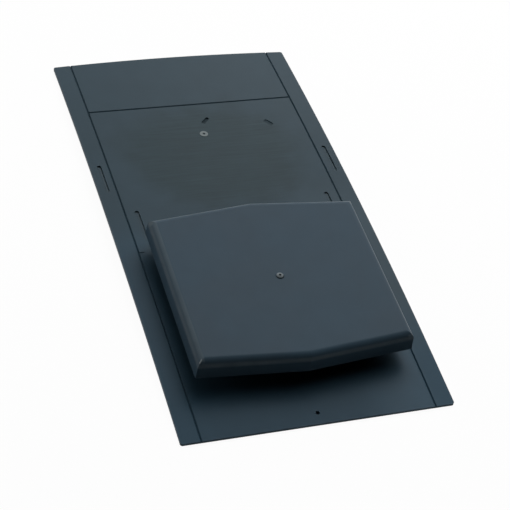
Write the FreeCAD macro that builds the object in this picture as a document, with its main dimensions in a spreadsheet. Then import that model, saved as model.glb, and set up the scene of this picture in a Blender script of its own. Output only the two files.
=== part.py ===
import FreeCAD, Part
import math
import os
import re
import Sketcher

doc = FreeCAD.newDocument("roof_tile_vent")

# Driving dimensions in millimetres, and angles in degrees
driving = {
    # Base plate, the size of one slate
    "plate_width": 300.0,
    "plate_length": 600.0,
    "plate_thick": 3.0,
    "camber_rise": 10.0,
    "head_bulge": 5.0,
    "plate_corner": 2.5,
    # Trim grooves, where the plate can be cut down to a smaller slate
    "trim_strip": 21.5,
    "trim_head": 100.0,
    "trim_groove_width": 2.4,
    "trim_groove_depth": 1.1,
    "tick_from_tail": 256.6,
    "tick_length": 6.5,
    "tick_width": 1.2,
    "tick_depth": 0.8,
    # Nail slots, left as thin webs to punch through
    "nail_slot_length": 46.0,
    "nail_slot_width": 5.0,
    "nail_slot_depth": 1.9,
    "outer_slot_from_edge": 10.8,
    "outer_slot_from_tail": 379.5,
    "inner_slot_from_edge": 35.4,
    "inner_slot_from_tail": 299.0,
    # Hole for the disc rivet that holds the tail down
    "rivet_hole": 4.5,
    "rivet_from_tail": 13.5,
    # Moulding marks on the plate: a gate ring and two nicks
    "plate_gate_from_tail": 442.6,
    "plate_gate_ring": 10.5,
    "plate_gate_eye": 3.2,
    "plate_gate_rise": 0.4,
    "long_nick": 13.0,
    "long_nick_width": 4.2,
    "long_nick_depth": 1.2,
    "long_nick_turn": 46.0,
    "long_nick_aside": 9.0,
    "long_nick_from_tail": 467.4,
    "short_nick": 12.0,
    "short_nick_width": 4.8,
    "short_nick_depth": 0.7,
    "short_nick_turn": 127.0,
    "short_nick_aside": 86.0,
    "short_nick_from_tail": 454.2,
    # Throat through the plate, with a weir round it and a collar below
    "cowl_from_tail": 166.5,
    "throat_width": 154.0,
    "throat_length": 118.0,
    "throat_corner": 10.0,
    "throat_ledge": 3.0,
    "ledge_sink": 0.8,
    "weir_wall": 2.5,
    "weir_height": 24.0,
    "collar_wall": 2.5,
    "collar_depth": 4.0,
    # Pillars with pegs that carry the cowl
    "pillar_width": 12.0,
    "pillar_spread": 90.0,
    "peg_width": 6.0,
    "peg_length": 8.0,
    "peg_chamfer": 0.8,
    "peg_clearance": 0.1,
    "socket_spare": 1.2,
    # Cowl, a shallow lid with a peaked front and back
    "cowl_width": 240.0,
    "cowl_length": 205.5,
    "front_peak": 10.5,
    "back_peak": 11.9,
    "rim_gap": 16.5,
    "cowl_height": 23.0,
    "cowl_wall": 2.5,
    "cowl_draft": 4.0,
    "cowl_round": 8.0,
    "rib_wall": 2.0,
    "rib_depth": 5.0,
    "cowl_gate_dome": 9.5,
    "cowl_gate_rise": 1.6,
    "cowl_gate_pit": 2.2,
    "cowl_gate_sink": 0.9,
    # Insect grille, a slotted insert on the throat's ledge, and the clips above it
    "grille_thick": 3.0,
    "grille_clearance": 0.3,
    "grille_border": 6.0,
    "grille_slot": 4.0,
    "grille_bar": 2.4,
    "grille_spine": 5.0,
    "clip_length": 12.0,
    "clip_reach": 1.2,
    "clip_height": 1.4,
    "clip_clearance": 0.1,
}

# Sizes that follow from the driving dimensions
derived = {
    "tail": "-plate_length / 2",
    "under_radius": "(plate_length ^ 2 / 4 + camber_rise ^ 2) / (2 * camber_rise)",
    "top_radius": "under_radius + plate_thick",
    "axis_drop": "under_radius - camber_rise",
    "head_radius": "(plate_width ^ 2 / 4 + head_bulge ^ 2) / (2 * head_bulge)",
    "trim_side": "plate_width / 2 - trim_strip",
    "cowl_station": "tail + cowl_from_tail",
    "seat_width": "throat_width + 2 * throat_ledge",
    "seat_length": "throat_length + 2 * throat_ledge",
    "seat_corner": "throat_corner + throat_ledge",
    "weir_width": "seat_width + 2 * weir_wall",
    "weir_length": "seat_length + 2 * weir_wall",
    "weir_corner": "seat_corner + weir_wall",
    "collar_width": "throat_width + 2 * collar_wall",
    "collar_length": "throat_length + 2 * collar_wall",
    "collar_corner": "throat_corner + collar_wall",
    "pillar_aside": "(weir_width - weir_wall + pillar_width) / 2",
    "socket_width": "peg_width + 2 * peg_clearance",
    "cowl_top": "rim_gap + cowl_height",
    "ceiling": "cowl_top - cowl_wall",
    "gate_radius": "(cowl_gate_dome ^ 2 / 4 + cowl_gate_rise ^ 2) / (2 * cowl_gate_rise)",
    "grille_width": "seat_width - 2 * grille_clearance",
    "grille_length": "seat_length - 2 * grille_clearance",
    "grille_corner": "seat_corner - grille_clearance",
    "slot_pitch": "grille_slot + grille_bar",
    "slot_count": "floor((grille_width - 2 * grille_border + grille_bar) / slot_pitch)",
    "slot_end": "grille_length / 2 - grille_border",
    "clip_lift": "grille_thick - ledge_sink + clip_clearance",
}

sheet = doc.addObject("Spreadsheet::Sheet", "sizes")
cells = list(driving.items()) + [(name, "=" + formula) for name, formula in derived.items()]
for row, (name, content) in enumerate(cells, start=1):
    sheet.set(f"A{row}", name)
    sheet.set(f"B{row}", str(content))
    sheet.setAlias(f"B{row}", name)
doc.recompute()


# Pads and cuts meet exactly: the long camber radius would otherwise loosen their tolerance
exact = 0.0

# Two lengths closer than this are taken as the same
tolerance = 1e-4

# A quarter turn in radians, and the angle of an arc's crest
straight_up = math.pi / 2


def linked(formula):
    """The formula with each of the sheet's names written as a reference to the sheet."""
    names = driving.keys() | derived.keys()
    return re.sub(r"[a-z]\w*", lambda word: f"sizes.{word[0]}" if word[0] in names else word[0], formula)


def size(formula):
    """What a formula comes to with the sheet as it stands."""
    result = sheet.evalExpression(linked(formula))
    return float(getattr(result, "Value", result))


def bind(item, path, formula):
    """Tie a property of an object to the sheet."""
    item.setExpression(path, linked(formula))


def new_body(label):
    """An empty body whose label names the piece."""
    body = doc.addObject("PartDesign::Body", label)
    body.Label = label
    return body


def new_sketch(body, name, role="XY_Plane"):
    """A sketch on one of the body's own origin planes."""
    sketch = body.newObject("Sketcher::SketchObject", name)
    plane = next(item for item in body.Origin.OriginFeatures if item.Role == role)
    sketch.AttachmentSupport = (plane, [""])
    sketch.MapMode = "FlatFace"
    return sketch


def level_sketch(body, name, height):
    """A sketch parallel to the body's XY plane at a height above it."""
    sketch = new_sketch(body, name)
    bind(sketch, "AttachmentOffset.Base.z", height)
    return sketch


def crown_pose(item, path, along, lift, axes, hinge):
    """Set a placement square to the cambered top at a distance along it, raised by a lift."""
    sign = -1 if size(along) > 0 else 1
    turn = FreeCAD.Rotation(FreeCAD.Vector(*hinge) * sign, math.degrees(1))
    setattr(item, path, FreeCAD.Placement(FreeCAD.Vector(), turn))
    reach = f"(top_radius + ({lift}))"
    share = f"(({along}) / top_radius)"
    bind(item, f"{path}.Base.{axes[0]}", f"{reach} * {share}")
    bind(item, f"{path}.Base.{axes[1]}", f"{reach} * sqrt(1 - {share} ^ 2) - axis_drop")
    bind(item, f"{path}.Rotation.Angle", f"asin({-sign} * {share})")


def crown_sketch(body, name, along, lift="0"):
    """A sketch that lies on the cambered top face, or parallel to it there."""
    sketch = new_sketch(body, name)
    crown_pose(sketch, "AttachmentOffset", along, lift, "yz", (1, 0, 0))
    return sketch


def hold(sketch, kind, item, point, formula):
    """Fix a point of a sketch by one of its two distances from the sketch's origin."""
    if formula == "0":
        axis = {"DistanceX": -2, "DistanceY": -1}[kind]
        sketch.addConstraint(Sketcher.Constraint("PointOnObject", item, point, axis))
    else:
        rule = Sketcher.Constraint(kind, -1, 1, item, point, size(formula))
        bind(sketch, f"Constraints[{sketch.addConstraint(rule)}]", formula)


def pin(sketch, item, point, across, along):
    """Fix a point of a sketch by both its distances from the sketch's origin."""
    hold(sketch, "DistanceX", item, point, across)
    hold(sketch, "DistanceY", item, point, along)


def join(sketch, kind, first, second):
    """Hold the end of one curve to the start of the next."""
    sketch.addConstraint(Sketcher.Constraint(kind, first, 2, second, 1))


def set_radius(sketch, item, formula):
    """Give a circle or an arc its radius."""
    rule = Sketcher.Constraint("Radius", item, size(formula))
    bind(sketch, f"Constraints[{sketch.addConstraint(rule)}]", formula)


def add_polygon(sketch, corners):
    """A closed outline of straight lines between corners, each a pair of formulas."""
    points = [FreeCAD.Vector(size(across), size(along), 0) for across, along in corners]
    ends = points[1:] + points[:1]
    sides = [sketch.addGeometry(Part.LineSegment(start, end)) for start, end in zip(points, ends)]
    for step, (across, along) in enumerate(corners):
        join(sketch, "Coincident", sides[step - 1], sides[step])
        pin(sketch, sides[step], 1, across, along)


def add_rectangle(sketch, low, high):
    """A rectangle between two opposite corners, each a pair of formulas."""
    add_polygon(sketch, [low, (high[0], low[1]), high, (low[0], high[1])])


def add_arc(sketch, centre, radius, start, end):
    """An arc about a centre given as formulas, from one angle to another in radians."""
    middle = FreeCAD.Vector(size(centre[0]), size(centre[1]), 0)
    circle = Part.Circle(middle, FreeCAD.Vector(0, 0, 1), size(radius))
    arc = sketch.addGeometry(Part.ArcOfCircle(circle, start, end))
    pin(sketch, arc, 3, *centre)
    set_radius(sketch, arc, radius)
    return arc


def close_arc(sketch, arc, corners):
    """Close an arc with straight lines from its end round a few corners to its start."""
    marks = [FreeCAD.Vector(size(across), size(along), 0) for across, along in corners]
    ends = [sketch.Geometry[arc].EndPoint, *marks, sketch.Geometry[arc].StartPoint]
    sides = [sketch.addGeometry(Part.LineSegment(*pair)) for pair in zip(ends, ends[1:])]
    for first, second in zip([arc, *sides], [*sides, arc]):
        join(sketch, "Coincident", first, second)
    for side, corner in zip(sides, corners):
        pin(sketch, side, 2, *corner)


def add_rounded(sketch, arcs):
    """Close a ring of arcs, given in turn, with straight lines that touch them."""
    for step, arc in enumerate(arcs):
        before = sketch.Geometry[arcs[step - 1]].EndPoint
        after = sketch.Geometry[arc].StartPoint
        side = sketch.addGeometry(Part.LineSegment(before, after))
        join(sketch, "Tangent", arcs[step - 1], side)
        join(sketch, "Tangent", side, arc)


def add_rounded_rectangle(sketch, width, length, corner):
    """A rectangle with round corners about the sketch's origin."""
    across = f"({width}) / 2 - ({corner})"
    along = f"({length}) / 2 - ({corner})"
    signs = ((1, 1), (-1, 1), (-1, -1), (1, -1))
    centres = [(f"{right} * ({across})", f"{ahead} * ({along})") for right, ahead in signs]
    turns = [(at, step * straight_up) for step, at in enumerate(centres)]
    arcs = [add_arc(sketch, at, corner, start, start + straight_up) for at, start in turns]
    add_rounded(sketch, arcs)


def add_slot(sketch, start, end, width):
    """A slot with round ends between the centres of its two ends."""
    rise = size(end[1]) - size(start[1])
    run = size(end[0]) - size(start[0])
    left = math.atan2(rise, run) + math.pi / 2
    radius = f"({width}) / 2"
    first = add_arc(sketch, start, radius, left, left + math.pi)
    second = add_arc(sketch, end, radius, left + math.pi, left + 2 * math.pi)
    add_rounded(sketch, [first, second])


def add_circle(sketch, across, along, width):
    """A circle of a given width about a point."""
    centre = FreeCAD.Vector(size(across), size(along), 0)
    circle = sketch.addGeometry(Part.Circle(centre, FreeCAD.Vector(0, 0, 1), size(width) / 2))
    pin(sketch, circle, 3, across, along)
    set_radius(sketch, circle, f"({width}) / 2")


def add_feature(body, kind, name, sketch, length=None, turned=False):
    """A pad or a pocket of a sketch, as long as the formula says or right through."""
    feature = body.newObject(f"PartDesign::{kind}", name)
    feature.FuzzyTolerance = exact
    feature.Profile = sketch
    feature.Reversed = turned
    if length is None:
        feature.Type = "ThroughAll"
    else:
        bind(feature, "Length", length)
    return feature


def picks(shape, part, chosen):
    """The names of a shape's edges or faces that a test picks."""
    items = enumerate(getattr(shape, f"{part}s"), start=1)
    return [f"{part}{step}" for step, item in items if chosen(item)]


def dress(body, kind, name, value, chosen):
    """Finish the body so far with a fillet, a chamfer, a draft or a hollow where a test picks."""
    part, sized = {
        "Fillet": ("Edge", "Radius"),
        "Chamfer": ("Edge", "Size"),
        "Draft": ("Face", "Angle"),
        "Thickness": ("Face", "Value"),
    }[kind]
    doc.recompute()
    base = body.Tip
    feature = body.newObject(f"PartDesign::{kind}", name)
    feature.Base = (base, picks(base.Shape, part, chosen))
    bind(feature, sized, value)
    return feature


def near(value, formula):
    """Whether a measure equals a formula on the sheet."""
    return abs(value - size(formula)) < tolerance


def at_height(level):
    """A test for edges and faces that lie at one height."""
    return lambda item: all(near(point.Z, level) for point in item.Vertexes)


def upright(face):
    """Whether a flat face stands upright."""
    return abs(face.normalAt(0, 0).z) < tolerance


def both_sides(across):
    """A distance to the right of the middle line and the same to the left."""
    return across, f"-({across})"


def make_plate(body):
    """The slate-sized plate: a bowed sheet with a convex head edge and round corners."""
    section = new_sketch(body, "plate_section", "YZ_Plane")
    centre = ("0", "-axis_drop")
    bow = math.asin(size("plate_length / 2 / under_radius"))
    under = add_arc(section, centre, "under_radius", straight_up - bow, straight_up + bow)
    top = add_arc(section, centre, "top_radius", straight_up - bow, straight_up + bow)
    for point, end in ((1, "plate_length / 2"), (2, "tail")):
        for arc in (under, top):
            hold(section, "DistanceX", arc, point, end)
        lower = getattr(section.Geometry[under], "StartPoint" if point == 1 else "EndPoint")
        upper = getattr(section.Geometry[top], "StartPoint" if point == 1 else "EndPoint")
        edge = section.addGeometry(Part.LineSegment(lower, upper))
        section.addConstraint(Sketcher.Constraint("Coincident", under, point, edge, 1))
        section.addConstraint(Sketcher.Constraint("Coincident", edge, 2, top, point))
    sheet_pad = add_feature(body, "Pad", "plate_sheet", section, "plate_width")
    sheet_pad.SideType = "Symmetric"

    head = new_sketch(body, "head_edge")
    reach = "plate_width / 2 + plate_thick"
    beyond = "plate_length / 2 + plate_thick"
    spread = math.asin(size(f"({reach}) / head_radius"))
    arc = add_arc(head, ("0", "plate_length / 2 - head_radius"), "head_radius",
                  straight_up - spread, straight_up + spread)
    for point, end in ((1, reach), (2, f"-({reach})")):
        hold(head, "DistanceX", arc, point, end)
    close_arc(head, arc, [(f"-({reach})", beyond), (reach, beyond)])
    add_feature(body, "Pocket", "head_trim", head, turned=True)

    def at_corner(edge):
        box = edge.BoundBox
        return box.XLength + box.YLength < tolerance and near(abs(edge.CenterOfMass.x), "plate_width / 2")

    dress(body, "Fillet", "plate_corners", "plate_corner", at_corner)


def cut_trim_grooves(body):
    """V grooves along both sides, one across between them, and the short ticks beside them."""
    sides = new_sketch(body, "side_grooves", "XZ_Plane")
    crest = "(camber_rise + plate_thick)"
    half = "trim_groove_width / 2"
    for side in both_sides("trim_side"):
        add_polygon(sides, [
            (f"{side} - {half}", crest),
            (side, f"{crest} - trim_groove_depth"),
            (f"{side} + {half}", crest),
            (f"{side} + {half}", f"{crest} + trim_groove_depth"),
            (f"{side} - {half}", f"{crest} + trim_groove_depth"),
        ])
    ends = [FreeCAD.Vector(size(end), -size("axis_drop"), 0) for end in both_sides("trim_side")]
    axle = sides.addGeometry(Part.LineSegment(*ends), True)
    for point, end in enumerate(both_sides("trim_side"), start=1):
        pin(sides, axle, point, end, "-axis_drop")
    groove = body.newObject("PartDesign::Groove", "side_groove_cut")
    groove.FuzzyTolerance = exact
    groove.Profile = sides
    groove.ReferenceAxis = (sides, ["Axis0"])
    groove.Midplane = True
    bind(groove, "Angle", "4 * asin(plate_length / 2 / under_radius)")

    across = new_sketch(body, "head_groove", "YZ_Plane")
    crown_pose(across, "AttachmentOffset", "plate_length / 2 - trim_head", "0", "xy", (0, 0, 1))
    add_polygon(across, [
        (f"-{half}", "0"),
        ("0", "-trim_groove_depth"),
        (half, "0"),
        (half, "trim_groove_depth"),
        (f"-{half}", "trim_groove_depth"),
    ])
    cut = add_feature(body, "Pocket", "head_groove_cut", across, "2 * trim_side")
    cut.SideType = "Symmetric"

    ticks = crown_sketch(body, "trim_ticks", "tail + tick_from_tail")
    inner = "(trim_side - tick_length)"
    add_rectangle(ticks, (inner, "-tick_width / 2"), ("trim_side", "tick_width / 2"))
    add_rectangle(ticks, ("-trim_side", "-tick_width / 2"), (f"-{inner}", "tick_width / 2"))
    add_feature(body, "Pocket", "trim_tick_cut", ticks, "tick_depth")


def cut_nail_slots(body):
    """Blind slots for nails, a pair in the trim strips and a pair inside them."""
    half = "(nail_slot_length - nail_slot_width) / 2"
    for pair in ("outer_slot", "inner_slot"):
        sketch = crown_sketch(body, f"{pair}s", f"tail + {pair}_from_tail")
        for side in both_sides(f"plate_width / 2 - {pair}_from_edge"):
            add_slot(sketch, (side, f"-{half}"), (side, half), "nail_slot_width")
        add_feature(body, "Pocket", f"{pair}_cut", sketch, "nail_slot_depth")


def cut_rivet_hole(body):
    """The hole on the middle line near the tail, straight up through the plate."""
    sketch = new_sketch(body, "rivet_hole_outline")
    add_circle(sketch, "0", "tail + rivet_from_tail", "rivet_hole")
    add_feature(body, "Pocket", "rivet_hole_cut", sketch, turned=True)


def add_plate_marks(body):
    """The gate's ring with its eye, and two short nicks."""
    gate = "tail + plate_gate_from_tail"
    ring = crown_sketch(body, "plate_gate_ring_outline", gate, "-plate_gate_rise")
    add_circle(ring, "0", "0", "plate_gate_ring")
    add_feature(body, "Pad", "plate_gate_boss", ring, "2 * plate_gate_rise")
    eye = crown_sketch(body, "plate_gate_eye_outline", gate, "plate_gate_rise")
    add_circle(eye, "0", "0", "plate_gate_eye")
    add_feature(body, "Pocket", "plate_gate_cut", eye, "2 * plate_gate_rise")
    for nick in ("long_nick", "short_nick"):
        sketch = crown_sketch(body, f"{nick}_outline", f"tail + {nick}_from_tail")
        half = f"({nick} - {nick}_width) / 2"
        run = f"{half} * cos({nick}_turn)"
        rise = f"{half} * sin({nick}_turn)"
        start = (f"{nick}_aside - {run}", f"-({rise})")
        end = (f"{nick}_aside + {run}", rise)
        add_slot(sketch, start, end, f"{nick}_width")
        add_feature(body, "Pocket", f"{nick}_cut", sketch, f"{nick}_depth")


def add_at_pillars(sketch, width):
    """A circle at each of the four places where the cowl is carried."""
    for across in both_sides("pillar_aside"):
        for along in both_sides("pillar_spread / 2"):
            add_circle(sketch, across, along, width)


def add_throat(body):
    """The throat: a weir and pillars above, a collar below, a sunk ledge and the way through."""
    station = "cowl_station"
    root = "plate_thick / 2"
    weir = crown_sketch(body, "weir_outline", station, f"-{root}")
    add_rounded_rectangle(weir, "weir_width", "weir_length", "weir_corner")
    add_feature(body, "Pad", "weir_block", weir, f"weir_height + {root}")
    pillars = crown_sketch(body, "pillar_outline", station, f"-{root}")
    add_at_pillars(pillars, "pillar_width")
    add_feature(body, "Pad", "pillar_block", pillars, f"weir_height + {root}")
    pegs = crown_sketch(body, "peg_outline", station, "weir_height")
    add_at_pillars(pegs, "peg_width")
    add_feature(body, "Pad", "peg_block", pegs, "peg_length")
    collar = crown_sketch(body, "collar_outline", station, f"-{root}")
    add_rounded_rectangle(collar, "collar_width", "collar_length", "collar_corner")
    add_feature(body, "Pad", "collar_block", collar, f"collar_depth + {root}", turned=True)
    ledge = crown_sketch(body, "ledge_outline", station, "weir_height")
    add_rounded_rectangle(ledge, "seat_width", "seat_length", "seat_corner")
    add_feature(body, "Pocket", "ledge_cut", ledge, "weir_height + ledge_sink")
    throat = crown_sketch(body, "throat_outline", station)
    add_rounded_rectangle(throat, "throat_width", "throat_length", "throat_corner")
    add_feature(body, "Pocket", "throat_cut", throat)

    clips = crown_sketch(body, "clip_outline", station, "clip_lift")
    half = "clip_length / 2"
    for span, turned in (("seat_width", False), ("seat_length", True)):
        inner = f"({span} / 2 - clip_reach)"
        outer = f"({span} / 2 + weir_wall / 2)"
        for low, high in ((inner, outer), (f"-{outer}", f"-{inner}")):
            start, end = (low, f"-{half}"), (high, half)
            if turned:
                start, end = start[::-1], end[::-1]
            add_rectangle(clips, start, end)
    add_feature(body, "Pad", "clip_block", clips, "clip_height")

    def at_peg_end(edge):
        round_edge = isinstance(edge.Curve, Part.Circle) and near(edge.Curve.Radius, "peg_width / 2")
        return round_edge and edge.CenterOfMass.z > size("camber_rise + weir_height + peg_length / 2")

    dress(body, "Chamfer", "peg_lead", "peg_chamfer", at_peg_end)


def make_base_plate():
    """The base: plate, grooves, slots, marks and throat in one moulding."""
    body = new_body("base_plate")
    make_plate(body)
    cut_trim_grooves(body)
    cut_nail_slots(body)
    cut_rivet_hole(body)
    add_plate_marks(body)
    add_throat(body)
    return body


def add_cowl_gate(body):
    """The gate's mark in the middle of the cowl: a low dome, turned about its axis, with a pit on top."""
    section = new_sketch(body, "gate_dome_section", "XZ_Plane")
    half, root, crest = "cowl_gate_dome / 2", "(ceiling + cowl_wall / 2)", "(cowl_top + cowl_gate_rise)"
    spread = math.asin(size(f"{half} / gate_radius"))
    arc = add_arc(section, ("0", f"{crest} - gate_radius"), "gate_radius", straight_up - spread, straight_up)
    for point, end in ((1, half), (2, "0")):
        hold(section, "DistanceX", arc, point, end)
    close_arc(section, arc, [("0", root), (half, root)])
    dome = body.newObject("PartDesign::Revolution", "gate_dome")
    dome.FuzzyTolerance = exact
    dome.Profile = section
    dome.ReferenceAxis = (section, ["V_Axis"])
    pit = level_sketch(body, "gate_pit_outline", crest)
    add_circle(pit, "0", "0", "cowl_gate_pit")
    add_feature(body, "Pocket", "gate_pit_cut", pit, "cowl_gate_sink")


def make_cowl():
    """The cowl: a drafted lid with a round top edge, hollow below, with ribs and peg sockets."""
    body = new_body("cowl")
    side = "cowl_width / 2"
    end = "cowl_length / 2"
    rim = level_sketch(body, "rim_outline", "rim_gap")
    add_polygon(rim, [
        ("0", f"-({end} + front_peak)"),
        (side, f"-{end}"),
        (side, end),
        ("0", f"{end} + back_peak"),
        (f"-{side}", end),
        (f"-{side}", f"-{end}"),
    ])
    add_feature(body, "Pad", "lid_block", rim, "cowl_height")
    walls = dress(body, "Draft", "lid_draft", "cowl_draft", upright)
    walls.NeutralPlane = (walls.Base[0], picks(walls.Base[0].Shape, "Face", at_height("rim_gap")))
    hollow = dress(body, "Thickness", "lid_hollow", "cowl_wall", at_height("rim_gap"))
    hollow.Join = "Intersection"
    hollow.Reversed = True
    dress(body, "Fillet", "hollow_round", "cowl_round - cowl_wall", at_height("ceiling"))
    dress(body, "Fillet", "lid_round", "cowl_round", at_height("cowl_top"))

    bosses = level_sketch(body, "boss_outline", "weir_height")
    add_at_pillars(bosses, "pillar_width")
    add_feature(body, "Pad", "boss_block", bosses, "ceiling - weir_height + cowl_wall / 2")
    ribs = level_sketch(body, "rib_outline", "ceiling - rib_depth")
    for across in both_sides("pillar_aside"):
        low = (f"{across} - rib_wall / 2", "-pillar_spread / 2")
        high = (f"{across} + rib_wall / 2", "pillar_spread / 2")
        add_rectangle(ribs, low, high)
    add_feature(body, "Pad", "rib_block", ribs, "rib_depth + cowl_wall / 2")
    sockets = level_sketch(body, "socket_outline", "weir_height")
    add_at_pillars(sockets, "socket_width")
    add_feature(body, "Pocket", "socket_cut", sockets, "peg_length + socket_spare", turned=True)

    add_cowl_gate(body)
    crown_pose(body, "Placement", "cowl_station", "0", "yz", (1, 0, 0))
    return body


def make_insect_grille():
    """The grille: a flat frame with two rows of narrow slots either side of a spine."""
    body = new_body("insect_grille")
    frame = new_sketch(body, "frame_outline")
    add_rounded_rectangle(frame, "grille_width", "grille_length", "grille_corner")
    add_feature(body, "Pad", "frame_block", frame, "grille_thick")
    slots = level_sketch(body, "slot_outline", "grille_thick")
    first = "-(slot_count - 1) / 2 * slot_pitch"
    left, right = f"{first} - grille_slot / 2", f"{first} + grille_slot / 2"
    add_rectangle(slots, (left, "grille_spine / 2"), (right, "slot_end"))
    add_rectangle(slots, (left, "-slot_end"), (right, "-grille_spine / 2"))
    cut = add_feature(body, "Pocket", "slot_cut", slots)
    doc.recompute()
    rows = body.newObject("PartDesign::LinearPattern", "slot_rows")
    rows.FuzzyTolerance = exact
    rows.Originals = [cut]
    rows.Direction = (slots, ["H_Axis"])
    bind(rows, "Length", "(slot_count - 1) * slot_pitch")
    bind(rows, "Occurrences", "slot_count")
    body.Tip = rows
    crown_pose(body, "Placement", "cowl_station", "-ledge_sink", "yz", (1, 0, 0))
    return body


def check_features(body):
    """Stop if a pad added nothing or a cut removed nothing."""
    for feature in body.Group:
        base = getattr(feature, "BaseFeature", None)
        if base is None:
            continue
        change = feature.Shape.Volume - base.Shape.Volume
        grows = feature.TypeId in ("PartDesign::Pad", "PartDesign::Revolution")
        shrinks = feature.TypeId in ("PartDesign::Pocket", "PartDesign::Groove", "PartDesign::LinearPattern")
        if (grows and change <= 0) or (shrinks and change >= 0):
            raise RuntimeError(f"{feature.Name} changes nothing")


pieces = [make_base_plate(), make_cowl(), make_insect_grille()]
doc.recompute()

for item in doc.Objects:
    if "Invalid" in item.State or "Error" in item.State:
        raise RuntimeError(f"{item.Name} failed: {item.State}")
for piece in pieces:
    check_features(piece)
    if piece.Shape.isNull() or not piece.Shape.isValid() or len(piece.Shape.Solids) != 1:
        raise RuntimeError(f"{piece.Label} is not one valid solid")

os.makedirs("parts", exist_ok=True)
for piece in pieces:
    piece.Shape.exportStep(f"parts/{piece.Label}.step")
    box = piece.Shape.optimalBoundingBox(False)
    print(f"{piece.Label}: {piece.Shape.Volume / 1000:.1f} cm3,"
          f" x {box.XMin:.2f} to {box.XMax:.2f}, y {box.YMin:.2f} to {box.YMax:.2f},"
          f" z {box.ZMin:.2f} to {box.ZMax:.2f}")
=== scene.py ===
import math

import bpy
from mathutils import Matrix, Vector

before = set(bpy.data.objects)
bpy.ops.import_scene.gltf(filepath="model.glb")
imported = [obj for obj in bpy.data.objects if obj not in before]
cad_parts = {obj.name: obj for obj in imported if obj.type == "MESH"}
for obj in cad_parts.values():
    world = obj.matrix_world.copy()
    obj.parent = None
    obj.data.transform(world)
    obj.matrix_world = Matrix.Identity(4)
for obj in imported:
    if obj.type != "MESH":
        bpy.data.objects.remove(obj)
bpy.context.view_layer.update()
scene = bpy.context.scene
print("frame loaded:", sorted(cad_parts))


class Wire:
    # One socket of a shader tree: sums written on wires add their own Math nodes
    def __init__(self, tree, socket=None):
        self.tree = tree
        self.socket = socket

    def node(self, kind, settings=None, sockets=None, output=0):
        # Add a node: its settings come first, then the values or wires of its sockets
        made = self.tree.nodes.new(kind)
        for name, value in (settings or {}).items():
            setattr(made, name, value)
        for name, value in (sockets or {}).items():
            if isinstance(value, Wire):
                self.tree.links.new(value.socket, made.inputs[name])
            else:
                made.inputs[name].default_value = value
        return Wire(self.tree, made.outputs[output] if made.outputs else None)

    def maths(self, operation, *values):
        return self.node("ShaderNodeMath", {"operation": operation}, dict(enumerate(values)))

    def __add__(self, other):
        return self.maths("ADD", self, other)

    def __sub__(self, other):
        return self.maths("SUBTRACT", self, other)

    def __rsub__(self, other):
        return self.maths("SUBTRACT", other, self)

    def __mul__(self, other):
        return self.maths("MULTIPLY", self, other)

    def __truediv__(self, other):
        return self.maths("DIVIDE", self, other)

    def __rtruediv__(self, other):
        return self.maths("DIVIDE", other, self)

    def __abs__(self):
        return self.maths("ABSOLUTE", self)

    __radd__ = __add__
    __rmul__ = __mul__

    def least(self, other):
        return self.maths("MINIMUM", self, other)

    def most(self, other):
        return self.maths("MAXIMUM", self, other)

    def root(self):
        return self.maths("SQRT", self)

    def ramp(self, start, end):
        # 0 at start, 1 at end, smooth between them, either way round
        sockets = {"Value": self, "From Min": start, "From Max": end}
        return self.node("ShaderNodeMapRange", {"interpolation_type": "SMOOTHSTEP"}, sockets)

    def band(self, low, high, soft):
        # 1 between low and high, fading to 0 over a soft width outside them
        return self.ramp(low - soft, low) * self.ramp(high + soft, high)

    def mix(self, first, second):
        # A colour that goes from the first to the second as this wire goes from 0 to 1
        sockets = {0: self, 6: first, 7: second}
        return self.node("ShaderNodeMix", {"data_type": "RGBA"}, sockets, output=2)

    def scaled(self, factor):
        # A colour times a number
        sockets = {0: self, "Scale": factor}
        return self.node("ShaderNodeVectorMath", {"operation": "SCALE"}, sockets)


def colour(red, green, blue):
    return (red, green, blue, 1.0)


def newMaterial(name):
    material = bpy.data.materials.new(name)
    material.use_nodes = True
    material.node_tree.nodes.clear()
    return material, Wire(material.node_tree)


def pointOf(tree):
    # Object coordinates in metres, which are the CAD's own, and their three parts
    place = tree.node("ShaderNodeTexCoord", output="Object")
    split = [tree.node("ShaderNodeSeparateXYZ", None, {"Vector": place}, axis) for axis in range(3)]
    return place, *split


def noise(tree, place, scale, detail=2.0, stretch=(1.0, 1.0, 1.0)):
    # Noise about 0: finer where the scale is larger, squeezed along the stretched axes
    spread = tree.node("ShaderNodeMapping", None, {"Vector": place, "Scale": stretch})
    sockets = {"Vector": spread, "Scale": scale, "Detail": detail}
    return tree.node("ShaderNodeTexNoise", None, sockets) - 0.5


# What the three mouldings share; heights are in millimetres, other lengths in metres
plasticLook = {
    "gloss": 0.042,
    "roughness": 0.35,
    "roughRange": (0.15, 1.0),
    "roughGrain": 0.10,
    "roughMottle": 0.08,
    "roughScratch": 0.05,
    "roughDarkMarks": 0.5,
    "grainScale": 1500.0,
    "grainHeight": 0.02,
    "cloudScale": 38.0,
    "cloudHeight": 0.01,
    "scratchCut": (0.17, 0.22),
    "scratchDepth": 0.004,
    "fleckRadius": 0.0004,
    "fleckShare": 0.25,
    "fleckPale": 0.25,
    "millimetre": 0.001,
}


def grainOf(tree, place):
    return noise(tree, place, plasticLook["grainScale"], 1.0)


def cloudsOf(tree, place):
    return noise(tree, place, plasticLook["cloudScale"], 2.0)


def scratchesOf(tree, place, stretch):
    # Hairlines along the axes that are stretched least
    return noise(tree, place, 1.0, 1.0, stretch).ramp(*plasticLook["scratchCut"])


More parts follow.
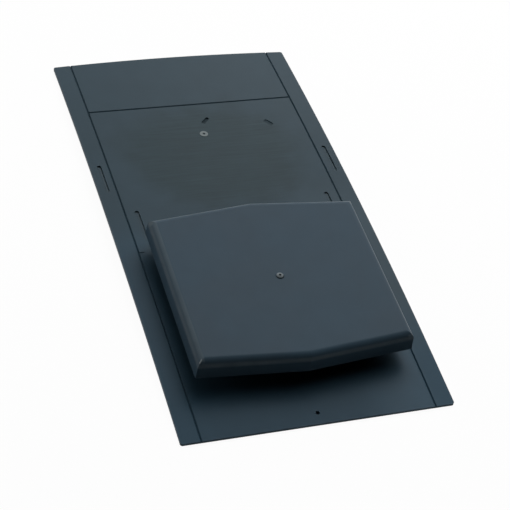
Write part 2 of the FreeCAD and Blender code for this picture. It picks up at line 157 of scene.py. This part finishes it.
def flecksOf(tree, place, spacing):
    # Small round flecks: cells a spacing apart, of which a share holds one
    sockets = {"Vector": place, "Scale": 1 / spacing}
    away = tree.node("ShaderNodeTexVoronoi", None, sockets, "Distance")
    tint = tree.node("ShaderNodeTexVoronoi", None, sockets, "Color")
    draw = tree.node("ShaderNodeSeparateColor", None, {"Color": tint})
    share, radius = plasticLook["fleckShare"], plasticLook["fleckRadius"] / spacing
    chosen = draw.ramp(0.98 - share, 1 - share)
    return plasticLook["fleckPale"] * away.ramp(radius, 0.5 * radius) * chosen


def awayFrom(across, along, spot):
    # Distance from an upright line through a spot
    across, along = across - spot[0], along - spot[1]
    return (across * across + along * along).root()


def satin(grain, mottle, scratch, darkMarks):
    # Roughness: uneven by grain and mottling, higher in scratches and in the darkened marks
    rough = plasticLook["roughness"] + plasticLook["roughGrain"] * grain
    rough = rough + plasticLook["roughMottle"] * mottle + plasticLook["roughScratch"] * scratch
    return rough + plasticLook["roughDarkMarks"] * darkMarks


def finish(material, tree, tone, rough, height, coat=0.0):
    # A moulded plastic, whose height bends the normal
    smoothest, roughest = plasticLook["roughRange"]
    sockets = {"Distance": plasticLook["millimetre"], "Strength": 1.0, "Height": height}
    bump = tree.node("ShaderNodeBump", None, sockets)
    surface = tree.node("ShaderNodeBsdfPrincipled", None, {
        "Base Color": tone,
        "Roughness": rough.least(roughest).most(smoothest),
        "Specular IOR Level": plasticLook["gloss"],
        "Coat Weight": coat,
        "Coat Roughness": plasticLook["roughness"],
        "Normal": bump,
    })
    tree.node("ShaderNodeOutputMaterial", None, {"Surface": surface})
    return material


def dressNode(name, material):
    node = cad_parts[name]
    node.data.materials.clear()
    node.data.materials.append(material)


# Pairs are where a ramp starts and ends, along X for aside and along Y for along
plateLook = {
    "tone": colour(0.0222, 0.0410, 0.0544),
    # The next tone is painted fill light: lighter and bluer, for where the cowl shades the plate
    "paintedFillTone": colour(0.0230, 0.0502, 0.0736),
    "dullTone": colour(0.0166, 0.0322, 0.0398),
    "paleTone": colour(0.140, 0.165, 0.170),
    "wearAndHighlightTone": colour(0.055, 0.080, 0.095),
    # The next tone is painted light, paler than the plate, for the slots' shaded walls
    "dustAndPaintedLightTone": colour(0.075, 0.105, 0.122),
    # The next tone darkens the grooves and paints shade at the nicks
    "darkMarkTone": colour(0.003, 0.006, 0.008),
    "mottleScale": 9.0,
    "mottle": 0.22,
    "cloud": 0.16,
    "grain": 0.10,
    "streak": 0.06,
    "streakStretch": (20.0, 500.0, 20.0),
    "scratchStretch": (700.0, 9.0, 9.0),
    "fleckSpacing": 0.006,
    "crest": 0.013,
    "camberRadius": 4.508,
    "halfWidth": 0.150,
    "halfLength": 0.300,
    "headBulge": 0.005,
    "faceDepth": (0.0024, 0.0016),
    "slotDepth": (0.0002, 0.0005),
    # Where the painted bluish fill light lies: over the tail and beside the cowl on the left
    "paintedFillTail": (-0.13, -0.25),
    "paintedFillAside": (-0.10, -0.125),
    "paintedFillAlong": (0.03, -0.07),
    "dullSpot": (0.0, 0.105),
    "dullSize": (0.112, 0.092),
    "dullFade": (1.2, 0.7),
    "dullStreak": 0.45,
    "dullHeight": 0.03,
    # The right of the plate has a real polish coat and painted sheen on its tone; the tail strips
    # get painted light
    "polishAndSheenAside": (0.04, 0.10),
    "polishAndSheenAlong": (0.06, -0.04),
    "polishCoat": 0.035,
    "paintedLightGain": 0.1,
    "stripAside": (0.125, 0.135),
    "stripAlong": (-0.16, -0.24),
    "edgeInset": (0.0016, 0.0002),
    "edgeWear": 0.15,
    "wearShine": 0.06,
    "gateSpot": (0.0, 0.1426),
    "gateEye": 0.0019,
    "gateRing": 0.0047,
    "gateSoft": 0.0006,
    "gatePale": 0.95,
    "flowReach": (0.05, 0.006),
    "grooveAside": 0.1285,
    "grooveAlong": 0.200,
    "grooveHalf": 0.0011,
    "grooveDark": 0.3,
    "soft": 0.0005,
    # Middles of the nail slots on the right, which the left side mirrors
    "slots": {"outerSlot": (0.1392, 0.0795), "innerSlot": (0.1146, -0.0010)},
    "slotHalf": (0.0025, 0.0230),
    "slotWall": (-0.0005, 0.0015),
    "slotEnd": (0.0195, 0.0215),
    # How much painted light lifts the shade on a slot's right wall
    "slotWallPaintedLight": 0.55,
    # Each nick: its middle, turn from +X in degrees, half length, half width, darkness of its
    # painted shade
    "nicks": {
        "longNick": ((0.009, 0.1674), 46.0, 0.0060, 0.0020, 0.5),
        "shortNick": ((0.086, 0.1542), 127.0, 0.0060, 0.0028, 0.32),
    },
    "nickSoft": 0.001,
}


def dullPatch(look, x, y, mottle, cloud):
    # A ragged ellipse above the cowl
    across = (x - look["dullSpot"][0]) / look["dullSize"][0]
    along = (y - look["dullSpot"][1]) / look["dullSize"][1]
    reach = (across * across + along * along).root()
    return (reach + 0.5 * mottle + 0.3 * cloud).ramp(*look["dullFade"])


def plateEdge(look, x, y):
    # The outer rim of the plate, along its sides, its convex head and its tail
    far, near = look["edgeInset"]
    width, length = look["halfWidth"], look["halfLength"]
    head = y + look["headBulge"] * (x / width) * (x / width)
    edge = abs(x).ramp(width - far, width - near)
    edge = edge.most(head.ramp(length - far, length - near))
    return edge.most(y.ramp(far - length, near - length))


def slotPaintedLight(look, x, y, spot):
    # Painted light along the shaded right wall and the upper end of a slot
    across, along = x - spot[0], y - spot[1]
    halfWidth, halfLength = look["slotHalf"]
    inside = abs(across).ramp(halfWidth + look["soft"], halfWidth)
    inside = inside * abs(along).ramp(halfLength + look["soft"], halfLength)
    wall = look["slotWallPaintedLight"] * across.ramp(*look["slotWall"])
    return inside * wall.most(along.ramp(*look["slotEnd"]))


def grooveDark(look, x, y):
    # Darker in the trim grooves along both sides, and the one across between them
    outer = look["grooveHalf"] + look["soft"]
    sides = abs(abs(x) - look["grooveAside"]).ramp(outer, look["grooveHalf"])
    head = abs(y - look["grooveAlong"]).ramp(outer, look["grooveHalf"])
    head = head * abs(x).ramp(look["grooveAside"] + 0.001, look["grooveAside"])
    return sides.most(head) * look["grooveDark"]


def nickPaintedShade(look, x, y, spot, turn, halfLength, halfWidth, dark):
    # Painted shade over a nick: a soft-ended stroke, turned about its middle
    cos, sin = math.cos(math.radians(turn)), math.sin(math.radians(turn))
    x, y = x - spot[0], y - spot[1]
    along = abs(x * cos + y * sin).ramp(halfLength + look["nickSoft"], halfLength)
    aside = abs(y * cos - x * sin).ramp(halfWidth + look["nickSoft"], halfWidth)
    return along * aside * dark


def platePlastic(look):
    # Slate blue plastic, dull and streaked above the cowl, darker in the grooves; painted bluish
    # fill light at the tail, other painted light and shade below
    material, tree = newMaterial("platePlastic")
    place, x, y, z = pointOf(tree)
    mottle = noise(tree, place, look["mottleScale"], 3.0)
    cloud = cloudsOf(tree, place)
    grain = grainOf(tree, place)
    streak = noise(tree, place, 1.0, 2.0, look["streakStretch"])
    scratch = scratchesOf(tree, place, look["scratchStretch"])

    # How far a point lies below the cambered top tells the top side and the sunk slots
    depth = look["crest"] - (z + y * y / (2 * look["camberRadius"]))
    face = depth.ramp(*look["faceDepth"])
    sunk = depth.ramp(*look["slotDepth"])

    # Painted fill light: a lighter, bluer tone over the tail and the left strip beside the cowl,
    # which the cowl shades
    paintedFill = x.ramp(*look["paintedFillAside"]) * y.ramp(*look["paintedFillAlong"])
    paintedFill = paintedFill.most((y + 0.1 * mottle).ramp(*look["paintedFillTail"]))
    dull = dullPatch(look, x, y, mottle, cloud) * face
    polishAndPaintedSheen = x.ramp(*look["polishAndSheenAside"]) * y.ramp(*look["polishAndSheenAlong"]) * face
    tailStrip = abs(x).ramp(*look["stripAside"]) * y.ramp(*look["stripAlong"])
    coat = look["polishCoat"] * polishAndPaintedSheen * (1 - tailStrip)
    tone = dull.mix(paintedFill.mix(look["tone"], look["paintedFillTone"]), look["dullTone"])
    # Painted sheen and light: the tone is made lighter on the polished right of the plate and on
    # the tail strips
    tone = tone.scaled(1 + look["paintedLightGain"] * polishAndPaintedSheen.most(tailStrip))
    uneven = look["mottle"] * mottle + look["cloud"] * cloud + look["grain"] * grain
    tone = tone.scaled(1 + uneven + (look["streak"] + look["dullStreak"] * dull) * streak)

    wearAndHighlight = plateEdge(look, x, y) * (cloud + 0.5 * grain).ramp(-0.15, 0.2)
    pale = look["edgeWear"] * wearAndHighlight + flecksOf(tree, place, look["fleckSpacing"])
    tone = pale.mix(tone, look["wearAndHighlightTone"])
    # Painted light in the slots: their shaded right walls and upper ends are made paler
    for side in (-1, 1):
        for across, along in look["slots"].values():
            dustAndPaintedLight = sunk * slotPaintedLight(look, x, y, (side * across, along))
            tone = dustAndPaintedLight.mix(tone, look["dustAndPaintedLightTone"])

    gate = awayFrom(x, y, look["gateSpot"])
    ring = gate.band(look["gateEye"], look["gateRing"], look["gateSoft"]) * face
    flow = gate.ramp(*look["flowReach"]) * face
    tone = (ring * (look["gatePale"] + 0.6 * cloud)).mix(tone, look["paleTone"])

    darkMarks = grooveDark(look, x, y)
    # Painted shade over the nicks, wider than their cuts
    for nick in look["nicks"].values():
        darkMarks = darkMarks.most(nickPaintedShade(look, x, y, *nick))
    darkMarks = darkMarks * face
    tone = darkMarks.mix(tone, look["darkMarkTone"])

    rough = satin(grain, mottle, scratch, darkMarks) - look["wearShine"] * wearAndHighlight
    height = plasticLook["grainHeight"] * grain + look["dullHeight"] * dull * streak
    height = height + plasticLook["cloudHeight"] * flow * cloud
    height = height - plasticLook["scratchDepth"] * scratch
    return finish(material, tree, tone, rough, height, coat)


# The cowl sits square to the camber: its frame stands at a station along the plate and leans
cowlLook = {
    "tone": colour(0.0292, 0.0500, 0.0690),
    "coolTone": colour(0.0280, 0.0504, 0.0708),
    # The next tone is the pale of the painted highlights, light and rubs on the shoulders
    "wearAndHighlightTone": colour(0.095, 0.122, 0.138),
    "paleTone": colour(0.165, 0.190, 0.200),
    # The next tone darkens the pit and paints shade at the dome's front foot
    "darkMarkTone": colour(0.006, 0.010, 0.013),
    "mottleScale": 14.0,
    "mottle": 0.16,
    "cloud": 0.14,
    "grain": 0.12,
    "scratchStretch": (11.0, 650.0, 11.0),
    "fleckSpacing": 0.007,
    "station": -0.1335,
    "seat": 0.01102,
    "lean": -1.697,
    "halfWidth": 0.1184,
    "halfLength": 0.1010,
    "top": 0.0395,
    # How far in from the walls the pale bands of the four shoulders start and are full
    "leftInset": (0.0074, 0.0056),
    "rightInset": (0.008, 0.005),
    "backInset": (0.008, 0.005),
    "frontInset": (0.003, 0.0),
    # Each pale band: from and to a drop below the top, its soft width and strength; right and back
    # are painted highlights, front a painted reflection, left painted light, the rim a rub
    "rightHighlight": (0.0026, 0.0056, 0.0009, 0.55),
    "backHighlight": (0.0012, 0.0060, 0.0008, 0.9),
    "frontReflection": (0.0058, 0.0074, 0.0032, 0.72),
    "rimRub": (0.0224, 0.0240, 0.0006, 0.25),
    "leftLowPaintedLight": (0.0048, 0.0080, 0.0024, 0.28),
    "leftTopPaintedLight": (0.0028, 0.0008),
    "leftTopLightStrength": 0.52,
    "leftLeastLight": 0.15,
    "leftFade": (0.0115, 0.0080),
    # Width and drops of the painted highlight on the front left mitre
    "cornerHighlightWidth": (0.0014, 0.0006),
    "cornerHighlightBand": (0.0012, 0.0032, 0.0006, 1.0),
    "wearShine": 0.08,
    "pit": 0.0011,
    "dome": 0.0036,
    "domeSoft": 0.0005,
    # How pale the painted highlight on the dome's top is
    "domePaintedHighlight": 0.85,
    "domeDepth": (0.001, 0.0),
    # Where the painted shade at the dome's front foot lies, its side and how dark
    "paintedFootShade": (0.0002, 0.001),
    "footSide": (0.001, -0.002),
    "footDark": 0.8,
}


def paleBand(drop, start, end, soft, strength):
    # A pale band between two drops below the top
    return drop.band(start, end, soft) * strength


def cowlWearAndHighlights(look, x, along, drop, broken):
    # Pale bands, broken up by clouds and grain: painted highlights on the right and back shoulders,
    # a painted reflection on the front, painted light on the left wall, a rub along the rim
    width, length = look["halfWidth"], look["halfLength"]
    left = x.ramp(*[inset - width for inset in look["leftInset"]])
    right = x.ramp(*[width - inset for inset in look["rightInset"]])
    back = along.ramp(*[length - inset for inset in look["backInset"]])
    front = along.ramp(*[inset - length for inset in look["frontInset"]])
    leftPaintedLight = look["leftLeastLight"] + look["leftTopLightStrength"] * drop.ramp(*look["leftTopPaintedLight"])
    leftPaintedLight = (leftPaintedLight + paleBand(drop, *look["leftLowPaintedLight"])) * drop.ramp(*look["leftFade"])
    wearAndHighlight = left * leftPaintedLight
    wearAndHighlight = wearAndHighlight.most(right * paleBand(drop, *look["rightHighlight"]))
    wearAndHighlight = wearAndHighlight.most(back * paleBand(drop, *look["backHighlight"]))
    wearAndHighlight = wearAndHighlight.most(front * paleBand(drop, *look["frontReflection"]))
    wearAndHighlight = wearAndHighlight.most(paleBand(drop, *look["rimRub"]))
    return wearAndHighlight * broken.least(1.0).most(0.0)


def cornerHighlight(look, x, along, drop):
    # A painted highlight: a short pale line on the mitre at the front left
    mitre = abs(x + look["halfWidth"] - along - look["halfLength"])
    leftHalf = x.ramp(0.0, -0.05)
    return leftHalf * mitre.ramp(*look["cornerHighlightWidth"]) * paleBand(drop, *look["cornerHighlightBand"])


def cowlPlastic(look):
    # A greyer satin plastic with painted highlights and light along the shoulders, and the gate's
    # dome on the top
    material, tree = newMaterial("cowlPlastic")
    place, x, y, z = pointOf(tree)
    mottle = noise(tree, place, look["mottleScale"], 3.0)
    cloud = cloudsOf(tree, place)
    grain = grainOf(tree, place)
    scratch = scratchesOf(tree, place, look["scratchStretch"])

    cos, sin = math.cos(math.radians(look["lean"])), math.sin(math.radians(look["lean"]))
    along = cos * (y - look["station"]) - sin * (z - look["seat"])
    drop = look["top"] - (cos * (z - look["seat"]) + sin * (y - look["station"]))

    tone = mottle.ramp(-0.2, 0.2).mix(look["tone"], look["coolTone"])
    uneven = look["mottle"] * mottle + look["cloud"] * cloud + look["grain"] * grain
    tone = tone.scaled(1 + uneven)
    # Pale bands on the shoulders: painted highlights, a painted reflection and painted light, with
    # a rub along the rim
    wearAndHighlight = cowlWearAndHighlights(look, x, along, drop, 0.75 + 0.9 * cloud + 0.5 * grain)
    tone = (wearAndHighlight + flecksOf(tree, place, look["fleckSpacing"])).mix(tone, look["wearAndHighlightTone"])

    gate = awayFrom(x, along, (0.0, 0.0))
    soft = look["domeSoft"]
    upper = drop.ramp(*look["domeDepth"])
    dome = gate.band(look["pit"], look["dome"], soft) * upper
    pit = gate.ramp(look["pit"] + soft, look["pit"]) * upper
    # Painted shade: a dark crescent at the dome's front foot, where the dome shades itself; the pit
    # is darker too
    footFrom, footTo = [look["dome"] + reach for reach in look["paintedFootShade"]]
    paintedFootShade = gate.band(footFrom, footTo, soft) * along.ramp(*look["footSide"]) * upper
    # Painted highlights: the dome's top and a short line on the front left mitre are made pale
    pale = (look["domePaintedHighlight"] * dome).most(cornerHighlight(look, x, along, drop))
    tone = pale.mix(tone, look["paleTone"])
    tone = pit.most(look["footDark"] * paintedFootShade).mix(tone, look["darkMarkTone"])

    rough = satin(grain, mottle, scratch, pit.most(paintedFootShade)) - look["wearShine"] * wearAndHighlight
    height = plasticLook["grainHeight"] * grain + plasticLook["cloudHeight"] * cloud
    height = height - plasticLook["scratchDepth"] * scratch
    return finish(material, tree, tone, rough, height)


grilleLook = {
    "tone": colour(0.0100, 0.0112, 0.0124),
    "dustAndPaintedLightTone": colour(0.050, 0.050, 0.048),
    "dustScale": 60.0,
    "dustCut": (0.0, 0.35),
    "dustAndPaintedLight": 0.35,
    "roughness": 0.5,
    "roughDust": 0.3,
}


def grillePlastic(look):
    # Matt near black plastic with a little grey dust
    material, tree = newMaterial("grillePlastic")
    place = pointOf(tree)[0]
    grain = grainOf(tree, place)
    dustAndPaintedLight = noise(tree, place, look["dustScale"], 3.0) + 0.4 * grain
    dustAndPaintedLight = dustAndPaintedLight.ramp(*look["dustCut"]) * look["dustAndPaintedLight"]
    tone = dustAndPaintedLight.mix(look["tone"], look["dustAndPaintedLightTone"])
    rough = look["roughness"] + look["roughDust"] * dustAndPaintedLight + plasticLook["roughGrain"] * grain
    return finish(material, tree, tone, rough, plasticLook["grainHeight"] * grain)


dressNode("base_plate", platePlastic(plateLook))
dressNode("cowl", cowlPlastic(cowlLook))
dressNode("insect_grille", grillePlastic(grilleLook))
print("materials on the three mouldings")


studio = {
    "floorSize": 12.0,
    "floorDrop": 0.0005,
    "paper": 0.8,
    "floorShare": 0.96,
    "plainUnder": (0.955, 0.985),  # shares of the plate's half size
    "aim": (0.0, -0.1, 0.03),
    "distance": 2.5,
}

# Each soft box: bearing from +Y towards +X and height in degrees, width and height in metres, glow
softBoxes = {
    "backBox": (20.0, 38.0, 2.4, 2.0, 1.85),
    "backLowBox": (30.0, 22.0, 2.4, 1.0, 0.4),
    "sideBox": (45.0, 38.0, 2.4, 2.0, 2.06),
    "highBox": (40.0, 62.0, 2.0, 1.4, 2.25),
    "rightBox": (70.0, 55.0, 1.6, 1.4, 0.6),
    "leftBox": (295.0, 13.0, 2.2, 0.9, 2.1),
    "leftHighBox": (300.0, 35.0, 1.6, 1.2, 0.6),
    "backLeftBox": (330.0, 42.0, 1.6, 1.2, 0.6),
}


def aimed(place, aim):
    # A placement that looks from a place to an aim
    turn = (aim - place).to_track_quat("-Z", "Y").to_matrix().to_4x4()
    return Matrix.Translation(place) @ turn


def addSoftBox(name, bearing, height, width, tall, glow):
    # A rectangle of even glow that faces the part: its power is pi times its area times its glow
    lamp = bpy.data.lights.new(name, "AREA")
    lamp.shape = "RECTANGLE"
    lamp.size = width
    lamp.size_y = tall
    lamp.energy = math.pi * width * tall * glow
    bearing, height = math.radians(bearing), math.radians(height)
    level = math.cos(height)
    way = Vector((math.sin(bearing) * level, math.cos(bearing) * level, math.sin(height)))
    aim = Vector(studio["aim"])
    holder = bpy.data.objects.new(name, lamp)
    holder.matrix_world = aimed(aim + way * studio["distance"], aim)
    scene.collection.objects.link(holder)


for name, box in softBoxes.items():
    addSoftBox(name, *box)


def seenDirectly(tree):
    # 1 for what the camera sees straight, in a gloss or through a clear wall
    ways = ("Is Camera Ray", "Is Glossy Ray", "Is Transmission Ray")
    seen = [tree.node("ShaderNodeLightPath", output=way) for way in ways]
    return seen[0].most(seen[1]).most(seen[2])


def addFloor():
    # A flat square under the part, white to the eye, with a soft shadow kept in it
    half = studio["floorSize"] / 2
    low = -studio["floorDrop"]
    corners = [(-half, -half, low), (half, -half, low), (half, half, low), (-half, half, low)]
    mesh = bpy.data.meshes.new("floor")
    mesh.from_pydata(corners, [], [(0, 1, 2, 3)])
    floor = bpy.data.objects.new("floor", mesh)
    scene.collection.objects.link(floor)
    material, tree = newMaterial("floorPaper")
    x, y = pointOf(tree)[1:3]
    reach = (abs(x) / plateLook["halfWidth"]).most(abs(y) / plateLook["halfLength"])
    beside = reach.ramp(*studio["plainUnder"])  # plain below the plate, so its holes look dark
    glow = tree.node("ShaderNodeEmission", None, {"Strength": 1.0})
    paper = tree.node("ShaderNodeBsdfDiffuse", None, {"Color": colour(*[studio["paper"]] * 3)})
    share = seenDirectly(tree) * studio["floorShare"] * beside
    both = tree.node("ShaderNodeMixShader", None, {0: share, 1: paper, 2: glow})
    tree.node("ShaderNodeOutputMaterial", None, {"Surface": both})
    mesh.materials.append(material)


addFloor()

world = bpy.data.worlds.new("studioWorld")
scene.world = world
world.use_nodes = True
world.node_tree.nodes.clear()
sky = Wire(world.node_tree)
skySockets = {"Color": colour(1, 1, 1), "Strength": seenDirectly(sky)}
white = sky.node("ShaderNodeBackground", None, skySockets)
sky.node("ShaderNodeOutputWorld", None, {"Surface": white})
print("floor, lamps and world set")


viewpoint = {
    "place": (-0.5473, -1.1883, 1.2187),
    "right": (0.9432, -0.2949, 0.1532),
    "ahead": (0.3150, 0.6467, -0.6947),
    "lens": 110.24,
    "sensor": 36.0,
    "clipEnd": 100.0,
}


def addCamera():
    # A camera at a place, turned by the way ahead and the way to its right
    eye = bpy.data.cameras.new("eye")
    eye.sensor_width = viewpoint["sensor"]
    eye.lens = viewpoint["lens"]
    eye.clip_end = viewpoint["clipEnd"]
    holder = bpy.data.objects.new("eye", eye)
    ahead = Vector(viewpoint["ahead"]).normalized()
    right = Vector(viewpoint["right"])
    right = (right - ahead * right.dot(ahead)).normalized()
    turn = Matrix((right, right.cross(ahead), -ahead)).transposed()
    holder.matrix_world = Matrix.Translation(viewpoint["place"]) @ turn.to_4x4()
    scene.collection.objects.link(holder)
    scene.camera = holder


addCamera()
scene.view_settings.view_transform = "Standard"
